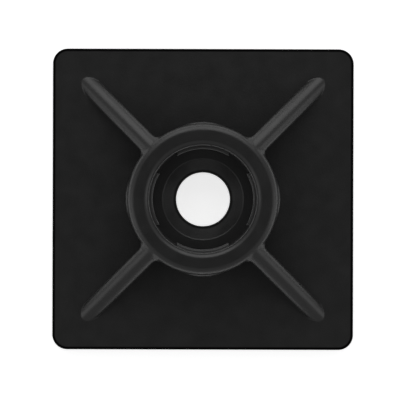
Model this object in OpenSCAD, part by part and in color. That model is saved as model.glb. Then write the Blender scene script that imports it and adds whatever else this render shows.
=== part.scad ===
// Four-way cable tie mount, moulded in one piece. A square base plate carries a
// raised ring, and a tie slides through the ring's slots from any of four sides.
// Four sloping ribs brace the ring, and a countersunk hole in its well takes a
// screw. Sizes are in millimetres. The origin is the centre of the underside.

/* [Base plate] */
// Length of each side of the square plate
plate_side = 28; // [25:0.5:40]
// Thickness of the plate
plate_t = 1.8; // [1.6:0.1:3]
// Radius of the plate's four corners, seen from above
corner_r = 1.4; // [0.6:0.1:2.5]
// Radius of the round along the plate's top edge
edge_r = 0.15; // [0.1:0.05:0.5]

/* [Screw hole] */
// Diameter of the hole
hole_d = 5; // [4:0.1:6]
// Width of the countersink all round the hole, seen from above
sink_w = 1.25; // [0.8:0.05:1.5]
// Angle of the countersink's cone
sink_angle = 90; // [82:1:120]

/* [Ring] */
// Diameter of the ring's outer wall
ring_d = 14.05; // [13.6:0.05:16]
// Height of the ring above the plate
ring_h = 4.4; // [4.2:0.1:6]
// Diameter of the well inside the ring, at its floor
well_d = 9.9; // [9.6:0.1:10.2]
// How much wider the well's mouth is than its floor
well_draft = 0.2; // [0.1:0.05:0.3]
// Radius of the round on the rim's outer edge
rim_outer_r = 0.75; // [0.3:0.05:0.9]
// Radius of the round on the rim's inner edge
rim_inner_r = 0.65; // [0.3:0.05:0.9]
// Radius of the fillet where the ring's wall meets the plate
foot_r = 0.1; // [0.05:0.05:0.6]

/* [Tie slots] */
// Width of each slot
slot_w = 5; // [3.5:0.1:5.6]
// Height of each slot above the plate
slot_h = 2; // [1.4:0.1:2.4]
// Radius of the slot's two upper corners
slot_corner_r = 0.5; // [0.2:0.05:0.9]
// How far the outer lip over each mouth stands out from the ring's wall
outer_lip = 0.2; // [0.1:0.05:0.5]
// Radius of the outer lip's rounded section
outer_lip_r = 0.3; // [0.25:0.05:0.5]
// How far the inner lip over each mouth stands in from the well's wall
inner_lip = 0.3; // [0.12:0.02:0.3]
// Radius of the inner lip's rounded section
inner_lip_r = 0.22; // [0.18:0.02:0.35]

/* [Ribs] */
// Distance from the hole's axis to the tip of each rib
rib_reach = 15.8; // [13:0.1:17]
// Width of each rib
rib_w = 1.7; // [1.2:0.1:2.4]
// Radius of a rib's rounded crest, as a multiple of half the rib's width
crest_flatness = 1.2; // [1.05:0.05:2]
// Height of a rib's crest above the plate, where it meets the ring's wall
rib_h = 4.05; // [3:0.05:4.1]
// Radius of the upright fillets where a rib's sides meet the ring's wall
root_r = 0.6; // [0.2:0.05:1.2]

/* [Hidden] */
$fn = 96;

// How far pieces run into each other, and how far cutters run past a face
overlap = 0.5;
// The number of ribs, and of slot mouths
ways = 4;
turn = 360 / ways;

corner_at = plate_side / 2 - corner_r;
hole_r = hole_d / 2;
sink_slope = tan(sink_angle / 2);
sink_depth = sink_w / sink_slope;
ring_r = ring_d / 2;
ring_base = plate_t - overlap;
ring_top = plate_t + ring_h;
well_r = well_d / 2;
mouth_r = well_r + well_draft / 2;
slot_top = plate_t + slot_h;
wall_mid_r = (well_r + ring_r) / 2;
rib_slope = atan(rib_h / (rib_reach - ring_r));
rib_run = (rib_reach - wall_mid_r) / cos(rib_slope) + ring_h;
crest_r = crest_flatness * rib_w / 2;
// How far a rib's sides stop short of its crest
shoulder = crest_r - sqrt(pow(crest_r, 2) - pow(rib_w / 2, 2));

// Centre of a root fillet, beside a rib that points along +X
root_y = rib_w / 2 + root_r;
root_x = sqrt(pow(ring_r + root_r, 2) - pow(root_y, 2));

// Each lip's section dips this far under the slot's ceiling, which then trims it
lip_dip = 0.05;

// The outer lip is an arc that leaves the ring's wall at the slot's two sides
lip_edge_x = sqrt(pow(ring_r, 2) - pow(slot_w / 2, 2));
lip_tip_x = ring_r + outer_lip;
outer_lip_x = (pow(lip_tip_x, 2) - pow(ring_r, 2)) / (2 * (lip_tip_x - lip_edge_x));
outer_arc_r = lip_tip_x - outer_lip_x;
outer_half_angle = atan2(slot_w / 2, lip_edge_x - outer_lip_x);
// The inner lip is an arc about the well's own axis
inner_half_angle = asin(slot_w / 2 / well_r);

// Half of a slab's section, from its middle outwards, with the top edge rounded
module rounded_section(half_w) {
    square([half_w - edge_r, plate_t]);
    square([half_w, plate_t - edge_r]);
    translate([half_w - edge_r, plate_t - edge_r])
        circle(r = edge_r);
}

// A slab as wide as the plate that stops where the corner rounds begin
module plate_slab() {
    rotate([90, 0, 90])
        translate([0, 0, -corner_at])
            linear_extrude(height = 2 * corner_at) {
                rounded_section(plate_side / 2);
                mirror([1, 0])
                    rounded_section(plate_side / 2);
            }
}

module plate() {
    for (a = [0, 90])
        rotate(a)
            plate_slab();
    for (a = [0:90:270])
        rotate(a)
            translate([corner_at, corner_at])
                rotate_extrude(angle = 90)
                    rounded_section(corner_r);
}

// The hole and its countersink, as a cutter
module screw_hole() {
    translate([0, 0, -overlap])
        cylinder(r = hole_r, h = plate_t + 2 * overlap);
    translate([0, 0, plate_t - sink_depth])
        cylinder(
            r1 = hole_r,
            r2 = hole_r + (sink_depth + overlap) * sink_slope,
            h = sink_depth + overlap
        );
}

// The ring's section: a wall with a rounded rim and a fillet at its foot
module ring_section() {
    polygon([
        [well_r, ring_base],
        [ring_r, ring_base],
        [ring_r, ring_top - rim_outer_r],
        [ring_r - rim_outer_r, ring_top],
        [mouth_r + rim_inner_r, ring_top],
        [mouth_r, ring_top - rim_inner_r],
    ]);
    translate([ring_r - rim_outer_r, ring_top - rim_outer_r])
        circle(r = rim_outer_r);
    translate([mouth_r + rim_inner_r, ring_top - rim_inner_r])
        circle(r = rim_inner_r);
    difference() {
        translate([ring_r - overlap, ring_base])
            square([foot_r + overlap, foot_r + overlap]);
        translate([ring_r + foot_r, plate_t + foot_r])
            circle(r = foot_r);
    }
}

// A round bar bent to an arc about Z, with its lowest line lip_dip under the slot's
// ceiling. reach is the radius of the arc's outer edge.
module lip_bar(bar_r, reach, half_angle) {
    translate([0, 0, slot_top + bar_r - lip_dip])
        rotate(-half_angle)
            rotate_extrude(angle = 2 * half_angle)
                translate([reach - bar_r, 0])
                    circle(r = bar_r);
}

// The rolled lips along both edges of the bridge over the mouth on the +X side
module lips() {
    translate([outer_lip_x, 0])
        lip_bar(outer_lip_r, outer_arc_r, outer_half_angle);
    lip_bar(inner_lip_r, well_r - inner_lip + 2 * inner_lip_r, inner_half_angle);
}

// One straight slot along X, open at both ends, as a cutter
module slot() {
    slot_run = 2 * (lip_tip_x + foot_r + overlap);
    rotate([90, 0, 90])
        translate([0, 0, -slot_run / 2])
            linear_extrude(height = slot_run) {
                translate([-slot_w / 2, 0])
                    square([slot_w, slot_top - slot_corner_r]);
                translate([-slot_w / 2 + slot_corner_r, 0])
                    square([slot_w - 2 * slot_corner_r, slot_top]);
                for (side = [-1, 1])
                    translate([side * (slot_w / 2 - slot_corner_r), slot_top - slot_corner_r])
                        circle(r = slot_corner_r);
            }
}

// Extrudes a section along the sloping line of the crest of the rib on the +X side
module along_rib() {
    translate([rib_reach, 0, plate_t])
        rotate([0, rib_slope, 0])
            translate([-rib_run, 0, 0])
                rotate([90, 0, 90])
                    linear_extrude(height = rib_run + rib_w)
                        children();
}

// One rib on the +X side: a bar with a rounded crest, sloping down to the plate
module rib() {
    intersection() {
        along_rib() {
            translate([0, -crest_r])
                circle(r = crest_r);
            translate([-crest_r, -crest_r - ring_h])
                square([2 * crest_r, ring_h]);
        }
        translate([wall_mid_r, -rib_w / 2, ring_base])
            cube([rib_reach - wall_mid_r, rib_w, ring_h + overlap]);
    }
}

// The two upright fillets at the root of the rib on the +X side
module rib_roots() {
    ring_share = ring_r / (ring_r + root_r);
    intersection() {
        along_rib()
            translate([-root_y, -shoulder - ring_h])
                square([2 * root_y, ring_h]);
        translate([0, 0, ring_base])
            linear_extrude(height = ring_h)
                for (side = [-1, 1])
                    difference() {
                        polygon([
                            [wall_mid_r, 0],
                            [root_x, 0],
                            [root_x, side * root_y],
                            [root_x * ring_share, side * root_y * ring_share],
                        ]);
                        translate([root_x, side * root_y])
                            circle(r = root_r);
                    }
    }
}

module mount_body() {
    color("#1f1f20")
        difference() {
            union() {
                plate();
                difference() {
                    union() {
                        rotate_extrude()
                            ring_section();
                        for (i = [0:ways - 1])
                            rotate(i * turn)
                                lips();
                    }
                    for (a = [0, turn])
                        rotate(a)
                            slot();
                }
                for (i = [0:ways - 1])
                    rotate(turn / 2 + i * turn) {
                        rib();
                        rib_roots();
                    }
            }
            screw_hole();
        }
}

mount_body();
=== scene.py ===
import math

import bpy
import numpy as np
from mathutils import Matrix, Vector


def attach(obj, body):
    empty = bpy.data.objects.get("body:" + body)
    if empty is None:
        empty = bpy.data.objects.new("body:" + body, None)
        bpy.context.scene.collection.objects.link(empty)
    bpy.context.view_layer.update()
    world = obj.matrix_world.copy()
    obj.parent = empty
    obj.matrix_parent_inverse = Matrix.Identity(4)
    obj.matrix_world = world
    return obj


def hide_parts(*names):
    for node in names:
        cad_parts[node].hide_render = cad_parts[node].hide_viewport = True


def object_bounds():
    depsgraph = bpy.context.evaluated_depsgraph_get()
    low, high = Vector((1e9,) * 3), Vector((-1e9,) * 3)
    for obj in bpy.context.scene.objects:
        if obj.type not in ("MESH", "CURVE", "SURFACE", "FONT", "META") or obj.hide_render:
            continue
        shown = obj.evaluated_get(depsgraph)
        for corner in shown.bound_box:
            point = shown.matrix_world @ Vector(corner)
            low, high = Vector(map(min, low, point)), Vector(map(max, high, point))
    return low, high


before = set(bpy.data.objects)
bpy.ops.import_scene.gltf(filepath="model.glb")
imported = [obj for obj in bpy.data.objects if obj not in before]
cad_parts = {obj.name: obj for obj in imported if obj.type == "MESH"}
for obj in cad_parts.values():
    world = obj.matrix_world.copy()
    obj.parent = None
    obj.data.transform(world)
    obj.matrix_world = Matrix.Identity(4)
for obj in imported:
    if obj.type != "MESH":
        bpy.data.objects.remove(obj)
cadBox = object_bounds()
millimetre = 0.001


def linear(hexColour):
    # sRGB hex to the linear values that shaders work in, with full alpha
    channels = [int(hexColour[i:i + 2], 16) / 255 for i in (1, 3, 5)]
    values = [c / 12.92 if c <= 0.04045 else ((c + 0.055) / 1.055) ** 2.4 for c in channels]
    return values + [1.0]


def addNode(tree, kind, settings=None, inputs=None):
    # One node with its settings; an input is a value, or the socket that feeds it
    node = tree.nodes.new(kind)
    for name, value in (settings or {}).items():
        setattr(node, name, value)
    for name, value in (inputs or {}).items():
        if isinstance(value, bpy.types.NodeSocket):
            tree.links.new(value, node.inputs[name])
        else:
            node.inputs[name].default_value = value
    return node


# Straight down on the plate from far enough for almost no perspective
camera = {
    "height": 0.35,
    "viewWidth": 38.70,     # mm across the picture at the plate's top face
    "rightOfHole": 0.47,    # mm from the hole's axis to the middle of the view
    "belowHole": 0.81,
    "roll": 0.17,           # degrees
}

mount = {
    # All in mm. The heights count from the plate's underside
    "plateThickness": 1.8,
    "plateCorner": 1.4,
    "plateEdge": 0.15,
    "underEdge": 0.08,
    "holeRadius": 2.5,
    "sinkRadius": 3.75,
    "sinkAngle": 90,        # degrees
    "sinkEdge": 0.05,
    "ringRadius": 6.96,
    "wellRadius": 4.95,
    "mouthRadius": 5.0,
    "rimOuter": 0.75,
    "rimInner": 0.65,
    "rimInnerCut": 0.1,     # how much of the inner round the well's wall cuts off
    "rimEdge": 0.04,
    "slotWidth": 5.0,
    "slotTop": 3.8,
    "slotCorner": 0.5,
    "slotEdge": 0.1,
    "outerLip": 0.2,
    "outerLipRound": 0.3,
    "innerLip": 0.3,
    "innerLipRound": 0.22,
    "ribReach": 15.8,
    "ribWidth": 1.7,
    "ribCrest": 1.02,
    "ribHeight": 4.05,
    "ribRoot": 0.6,
    "topEdge": 0.02,
    "foot": 0.03,
}

surface = {
    "gridStep": 0.1,        # mm between the points that the field is read at
    "slopeStep": 0.002,     # mm to each side, for the field's slope
    "leastSlope": 0.05,     # keeps a step short where the field is nearly level
    "gridRounds": 4,        # steps onto the surface, before and after faces are dropped
    "lastRounds": 3,
    "facesKept": 0.4,
    "mirrorGap": 0.002,     # mm across which the mirrored quarters join
}


def roundMax(a, b, radius):
    # What two solids share, with a round of this radius on the edge between them
    return np.minimum(-radius, np.maximum(a, b)) + np.hypot(
        np.maximum(a + radius, 0), np.maximum(b + radius, 0)
    )


def roundMin(a, b, radius):
    # Two solids joined, with a fillet of this radius in the corner between them
    return np.maximum(radius, np.minimum(a, b)) - np.hypot(
        np.maximum(radius - a, 0), np.maximum(radius - b, 0)
    )


def mountField(x, y, z):
    # Distance in mm from the moulding's surface, negative inside it
    m = mount
    half = (cadBox[1].x - cadBox[0].x) / 2 / millimetre
    top = cadBox[1].z / millimetre
    across, along = np.abs(x), np.abs(y)
    radius = np.hypot(x, y)
    far, near = np.maximum(across, along), np.minimum(across, along)
    plateTop = z - m["plateThickness"]

    cornerX = across - (half - m["plateCorner"])
    cornerY = along - (half - m["plateCorner"])
    outline = np.hypot(np.maximum(cornerX, 0), np.maximum(cornerY, 0)) - m["plateCorner"]
    outline += np.minimum(np.maximum(cornerX, cornerY), 0)
    plate = roundMax(roundMax(outline, plateTop, m["plateEdge"]), -z, m["underEdge"])
    lean = math.radians(m["sinkAngle"] / 2)
    cone = (m["sinkRadius"] - radius) * math.cos(lean) + plateTop * math.sin(lean)
    plate = roundMax(plate, cone, m["sinkEdge"])
    plate = roundMax(plate, m["holeRadius"] - radius, m["underEdge"])

    draft = (m["mouthRadius"] - m["wellRadius"]) / (top - m["plateThickness"])
    wall = roundMax(radius - m["ringRadius"], z - top, m["rimOuter"])
    wellWall = m["wellRadius"] + draft * plateTop - radius
    wall = roundMax(wall, wellWall - m["rimInnerCut"], m["rimInner"])
    wall = roundMax(wall, wellWall, m["rimEdge"])

    # The lips along the two lower edges of each bridge
    slotHalf = m["slotWidth"] / 2
    edgeX = math.sqrt(m["ringRadius"] ** 2 - slotHalf ** 2)
    tipX = m["ringRadius"] + m["outerLip"]
    lipX = (tipX ** 2 - m["ringRadius"] ** 2) / (2 * (tipX - edgeX))
    outerRound, innerRound = m["outerLipRound"], m["innerLipRound"]
    outerLip = np.hypot(
        np.hypot(far - lipX, near) - (tipX - lipX - outerRound),
        z - m["slotTop"] - outerRound,
    ) - outerRound
    innerLip = np.hypot(
        radius - (m["wellRadius"] - m["innerLip"] + innerRound),
        z - m["slotTop"] - innerRound,
    ) - innerRound
    innerLip = roundMax(innerLip, near - slotHalf, innerRound)
    wall = roundMin(wall, outerLip, m["slotEdge"])
    wall = roundMin(wall, innerLip, m["slotEdge"])

    slot = roundMax(near - slotHalf, z - m["slotTop"], m["slotCorner"])
    wall = roundMax(wall, -slot, m["slotEdge"])

    # A rib points along each diagonal, with its crest sloping down to the plate
    slope = math.atan(m["ribHeight"] / (m["ribReach"] - m["ringRadius"]))
    outward, aside = (across + along) / math.sqrt(2), (across - along) / math.sqrt(2)
    crest = (outward - m["ribReach"]) * math.sin(slope) + plateTop * math.cos(slope)
    rib = np.hypot(aside, np.maximum(crest + m["ribCrest"], 0)) - m["ribCrest"]
    rib = np.maximum(rib, np.abs(aside) - m["ribWidth"] / 2)
    rib = np.maximum(rib, (m["wellRadius"] + m["ringRadius"]) / 2 - outward)
    rib = roundMax(rib, z - top, m["plateEdge"])

    # The root fillets lie beside the rib, and run out on its crest and under the rim
    beside = np.clip(4 * np.abs(aside) / m["ribWidth"] - 1, 0, 1)
    below = np.clip((top - z) / m["rimOuter"], 0, 1)
    root = m["slotEdge"] + (m["ribRoot"] - m["slotEdge"]) * (beside * below)

    # Ring and ribs start inside the plate, a quarter of its thickness up
    raised = np.maximum(roundMin(wall, rib, root), m["plateThickness"] / 4 - z)
    raised = roundMax(raised, z - top, m["topEdge"])
    return roundMin(plate, raised, m["foot"])


def fieldSlope(points):
    step = surface["slopeStep"]
    rises = [
        mountField(*(points + shift).T) - mountField(*(points - shift).T)
        for shift in np.eye(3) * step
    ]
    return np.stack(rises, axis=1) / (2 * step)


def settle(points, rounds):
    # Walks points along the field's slope until they lie on the surface
    limit = surface["gridStep"] / 2
    for _ in range(rounds):
        slope = fieldSlope(points)
        steepness = np.maximum((slope ** 2).sum(axis=1), surface["leastSlope"])
        step = mountField(*points.T) / steepness
        points = points - np.clip(step, -limit, limit)[:, None] * slope
    return points


def netSurface(axes, values):
    # One point in each grid cell that the surface crosses, and a quad round each crossed edge
    inside = values < 0
    cells = tuple(n - 1 for n in values.shape)
    total, count = np.zeros(cells + (3,)), np.zeros(cells)
    for axis in range(3):
        others = [a for a in range(3) if a != axis]
        for offset in [(0, 0), (0, 1), (1, 0), (1, 1)]:
            low, high = [None] * 3, [None] * 3
            low[axis], high[axis] = slice(0, -1), slice(1, None)
            for other, o in zip(others, offset):
                low[other] = high[other] = slice(o, values.shape[other] - 1 + o)
            low, high = tuple(low), tuple(high)
            crossed = inside[low] != inside[high]
            i = np.nonzero(crossed)
            v0, v1 = values[low][i], values[high][i]
            t = v0 / (v0 - v1)
            where = list(i)
            where[others[0]] = where[others[0]] + offset[0]
            where[others[1]] = where[others[1]] + offset[1]
            spot = np.stack([axes[a][where[a]] for a in range(3)], axis=1)
            spot[:, axis] += t * (axes[axis][i[axis] + 1] - axes[axis][i[axis]])
            total[i] += spot
            count[i] += 1
    used = count > 0
    index = np.full(cells, -1)
    index[used] = np.arange(used.sum())
    points = total[used] / count[used][:, None]

    quads = []
    for axis in range(3):
        order = (axis, (axis + 1) % 3, (axis + 2) % 3)
        side, near = inside.transpose(order), index.transpose(order)
        lower, upper = side[:-1, 1:-1, 1:-1], side[1:, 1:-1, 1:-1]
        i, j, k = np.nonzero(lower != upper)
        around = [(j, k), (j + 1, k), (j + 1, k + 1), (j, k + 1)]
        quad = np.stack([near[i, b, c] for b, c in around], axis=1)
        outwards = lower[i, j, k]
        quad[~outwards] = quad[~outwards][:, ::-1]
        quads.append(quad)
    return points, np.concatenate(quads)


def buildMount():
    # A quarter of the moulding, mirrored twice, with fewer faces where it is flat
    step = surface["gridStep"]
    reach = cadBox[1].x / millimetre + 2 * step
    height = cadBox[1].z / millimetre + 2 * step
    side = np.arange(-step / 2, reach, step)
    level = np.arange(-1.5 * step, height, step)
    gx, gy, gz = np.meshgrid(side, side, level, indexing="ij")
    points, quads = netSurface((side, side, level), mountField(gx, gy, gz))
    points = settle(points, surface["gridRounds"])

    quarter = bpy.data.meshes.new("quarter")
    quarter.from_pydata((points * millimetre).tolist(), [], quads.tolist())
    piece = bpy.data.objects.new("nylonMount", quarter)
    bpy.context.scene.collection.objects.link(piece)
    mirror = piece.modifiers.new("fourQuarters", "MIRROR")
    mirror.use_axis = (True, True, False)
    mirror.merge_threshold = surface["mirrorGap"] * millimetre
    fewer = piece.modifiers.new("flatsThinned", "DECIMATE")
    fewer.ratio = surface["facesKept"]
    evaluated = piece.evaluated_get(bpy.context.evaluated_depsgraph_get())
    whole = bpy.data.meshes.new_from_object(evaluated)
    whole.name = "nylonMount"
    piece.modifiers.clear()
    piece.data = whole
    bpy.data.meshes.remove(quarter)

    spots = np.empty(len(whole.vertices) * 3)
    whole.vertices.foreach_get("co", spots)
    spots = settle(spots.reshape(-1, 3) / millimetre, surface["lastRounds"])
    whole.vertices.foreach_set("co", (spots * millimetre).astype(np.float32).ravel())
    whole.shade_smooth()
    normals = fieldSlope(spots)
    normals /= np.linalg.norm(normals, axis=1)[:, None]
    whole.update()
    whole.normals_split_custom_set_from_vertices(normals.tolist())
    print("mount:", len(whole.vertices), "points,", len(whole.polygons), "faces")
    return piece


mouldedNylon66 = {
    # PA66, injection moulded: black right through and satin. The fine grain of a
    # spark-eroded mould breaks the edges of its highlights up, and its flow leaves
    # faint cloudy patches of more and less shine
    "colour": "#1c1c1c",
    "roughness": 0.35,
    "roughnessSpread": 0.08,
    "ior": 1.53,
    "grain": 0.16,          # mm between the bumps of the grain
    "grainDepth": 0.008,    # mm
    "grainDetail": 2.0,
    "patch": 1.5,           # mm
    "patchDetail": 3.0,
    "patchFrom": 0.3,
    "patchTo": 0.7,
    # Painted shade: a thin blackest band along the plate's outline and the hole's. In it the
    # base colour goes near black and the reflection is tinted out. It fades inwards between
    # these two distances in mm
    "edgeShadeColour": "#020202",
    "edgeShadeFrom": 0.16,
    "edgeShadeTo": 0.34,
}


def nylonMaterial():
    n = mouldedNylon66
    material = bpy.data.materials.new("mouldedNylon66")
    material.use_nodes = True
    tree = material.node_tree
    tree.nodes.clear()

    def calc(operation, first, second=0.0):
        node = addNode(tree, "ShaderNodeMath", {"operation": operation}, {0: first, 1: second})
        return node.outputs[0]

    def length(first, second):
        squares = (calc("MULTIPLY", side, side) for side in (first, second))
        return calc("SQRT", calc("ADD", *squares))

    place = addNode(tree, "ShaderNodeTexCoord").outputs["Object"]
    grain = addNode(tree, "ShaderNodeTexNoise", {}, {
        "Vector": place, "Scale": 1 / (n["grain"] * millimetre), "Detail": n["grainDetail"],
    }).outputs["Fac"]
    patches = addNode(tree, "ShaderNodeTexNoise", {}, {
        "Vector": place, "Scale": 1 / (n["patch"] * millimetre), "Detail": n["patchDetail"],
    }).outputs["Fac"]
    rough = addNode(tree, "ShaderNodeMapRange", {}, {
        "Value": patches, "From Min": n["patchFrom"], "From Max": n["patchTo"],
        "To Min": n["roughness"] - n["roughnessSpread"] / 2,
        "To Max": n["roughness"] + n["roughnessSpread"] / 2,
    }).outputs["Result"]
    bump = addNode(tree, "ShaderNodeBump", {}, {
        "Height": grain, "Strength": 1.0, "Distance": n["grainDepth"] * millimetre,
    }).outputs["Normal"]

    # How far a spot lies inside the plate's outline, and outside the hole's, for the band of
    # painted shade along both
    apart = addNode(tree, "ShaderNodeSeparateXYZ", {}, {"Vector": place}).outputs
    corner = mount["plateCorner"] * millimetre
    straight = cadBox[1].x - corner
    pastX, pastY = (calc("SUBTRACT", calc("ABSOLUTE", apart[a]), straight) for a in "XY")
    beyondCorner = length(calc("MAXIMUM", pastX), calc("MAXIMUM", pastY))
    outward = calc("ADD", beyondCorner, calc("MINIMUM", calc("MAXIMUM", pastX, pastY)))
    fromEdge = calc("SUBTRACT", corner, outward)
    fromHole = calc("SUBTRACT", length(apart["X"], apart["Y"]), mount["holeRadius"] * millimetre)
    inside = addNode(tree, "ShaderNodeMapRange", {"interpolation_type": "SMOOTHSTEP"}, {
        "Value": calc("MINIMUM", fromEdge, fromHole),
        "From Min": n["edgeShadeFrom"] * millimetre, "From Max": n["edgeShadeTo"] * millimetre,
    }).outputs["Result"]
    # Painted shade: the base colour goes near black in the band along the outline and the hole
    colour = addNode(tree, "ShaderNodeMix", {"data_type": "RGBA"}, {
        "Factor": inside, 6: linear(n["edgeShadeColour"]), 7: linear(n["colour"]),
    }).outputs[2]
    # Painted shade: the reflection is tinted to black in the same band
    tint = addNode(tree, "ShaderNodeMix", {"data_type": "RGBA"}, {
        "Factor": inside, 6: linear("#000000"), 7: linear("#ffffff"),
    }).outputs[2]
    shader = addNode(tree, "ShaderNodeBsdfPrincipled", {}, {
        "Base Color": colour, "Specular Tint": tint, "Roughness": rough,
        "IOR": n["ior"], "Normal": bump,
    })
    addNode(tree, "ShaderNodeOutputMaterial", {}, {"Surface": shader.outputs["BSDF"]})
    return material


studio = {
    # Azimuths count from +X towards +Y; sizes and heights are angles seen from the mount
    "distance": 0.5,
    "lamps": {
        "northBox": {"azimuth": 90, "elevation": 35, "width": 62, "height": 44, "glow": 1.3},
        "westStrip": {"azimuth": 192, "elevation": 30, "width": 30, "height": 32, "glow": 0.85},
        "eastStrip": {"azimuth": 352, "elevation": 28, "width": 30, "height": 32, "glow": 0.8},
    },
    # A bright tent round the table with a dark gap overhead, where the camera looks in.
    # The gap ends between these two heights on a sky of radius 1
    "tent": "#aaaaaa",
    "overhead": "#5a5a5a",
    "gapFrom": 0.96,
    "gapTo": 0.85,
    "paper": "#fafafa",
    "paperGlow": 0.7,
    "paperHalf": 1.5,       # m from the mount to the paper's edge
    "paperBelow": 1e-5,     # m under the mount's flat side
}


def areaLamp(name, azimuth, elevation, width, height, glow):
    distance = studio["distance"]
    data = bpy.data.lights.new(name, "AREA")
    data.shape = "RECTANGLE"
    data.size = 2 * distance * math.tan(math.radians(width / 2))
    data.size_y = 2 * distance * math.tan(math.radians(height / 2))
    data.energy = glow * math.pi * data.size * data.size_y
    lamp = bpy.data.objects.new(name, data)
    a, e = math.radians(azimuth), math.radians(elevation)
    lamp.location = (
        distance * math.cos(e) * math.cos(a),
        distance * math.cos(e) * math.sin(a),
        distance * math.sin(e),
    )
    lamp.rotation_euler = (math.radians(90 - elevation), 0, math.radians(azimuth + 90))
    lamp.visible_camera = False
    bpy.context.scene.collection.objects.link(lamp)


def lightStudio():
    for name, lamp in studio["lamps"].items():
        areaLamp(name, **lamp)
    world = bpy.data.worlds.new("studio")
    bpy.context.scene.world = world
    world.use_nodes = True
    tree = world.node_tree
    tree.nodes.clear()
    direction = addNode(tree, "ShaderNodeTexCoord").outputs["Generated"]
    up = addNode(tree, "ShaderNodeSeparateXYZ", {}, {"Vector": direction}).outputs["Z"]
    side = addNode(tree, "ShaderNodeMapRange", {"interpolation_type": "SMOOTHSTEP"}, {
        "Value": up, "From Min": studio["gapTo"], "From Max": studio["gapFrom"],
        "To Min": 1.0, "To Max": 0.0,
    }).outputs["Result"]
    sky = addNode(tree, "ShaderNodeMix", {"data_type": "RGBA"}, {
        "Factor": side, 6: linear(studio["overhead"]), 7: linear(studio["tent"]),
    })
    glow = addNode(tree, "ShaderNodeBackground", {}, {"Color": sky.outputs[2]})
    addNode(tree, "ShaderNodeOutputWorld", {}, {"Surface": glow.outputs["Background"]})
    print("studio: lamps and tent")


def layFloor():
    half, level = studio["paperHalf"], -studio["paperBelow"]
    corners = [(x * half, y * half, level) for x, y in ((-1, -1), (1, -1), (1, 1), (-1, 1))]
    mesh = bpy.data.meshes.new("paperFloor")
    mesh.from_pydata(corners, [], [(0, 1, 2, 3)])
    floor = bpy.data.objects.new("paperFloor", mesh)
    bpy.context.scene.collection.objects.link(floor)
    material = bpy.data.materials.new("mattPaper")
    material.use_nodes = True
    tree = material.node_tree
    tree.nodes.clear()

    # The paper's lift to white shows to the camera and in reflections, and lights nothing
    rays = addNode(tree, "ShaderNodeLightPath").outputs
    seen = rays["Is Camera Ray"]
    for kind in ("Is Glossy Ray", "Is Transmission Ray"):
        either = {0: seen, 1: rays[kind]}
        seen = addNode(tree, "ShaderNodeMath", {"operation": "MAXIMUM"}, either).outputs[0]
    lifted = {0: seen, 1: studio["paperGlow"]}
    strength = addNode(tree, "ShaderNodeMath", {"operation": "MULTIPLY"}, lifted).outputs[0]
    lift = addNode(tree, "ShaderNodeEmission", {}, {"Strength": strength}).outputs[0]
    colour = {"Color": linear(studio["paper"])}
    paper = addNode(tree, "ShaderNodeBsdfDiffuse", {}, colour).outputs[0]
    both = addNode(tree, "ShaderNodeAddShader", {}, {0: paper, 1: lift}).outputs[0]
    addNode(tree, "ShaderNodeOutputMaterial", {}, {"Surface": both})
    mesh.materials.append(material)


def setCamera():
    data = bpy.data.cameras.new("overhead")
    data.lens = data.sensor_width * camera["height"] / (camera["viewWidth"] * millimetre)
    data.clip_start, data.clip_end = 0.01, 10
    view = bpy.data.objects.new("overhead", data)
    view.location = (
        camera["rightOfHole"] * millimetre,
        -camera["belowHole"] * millimetre,
        camera["height"] + mount["plateThickness"] * millimetre,
    )
    view.rotation_euler.z = math.radians(camera["roll"])
    bpy.context.scene.collection.objects.link(view)
    bpy.context.scene.camera = view
    bpy.context.scene.view_settings.view_transform = "Standard"


setCamera()
piece = buildMount()
piece.data.materials.append(nylonMaterial())
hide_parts("mount_body")
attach(piece, "root")
lightStudio()
layFloor()
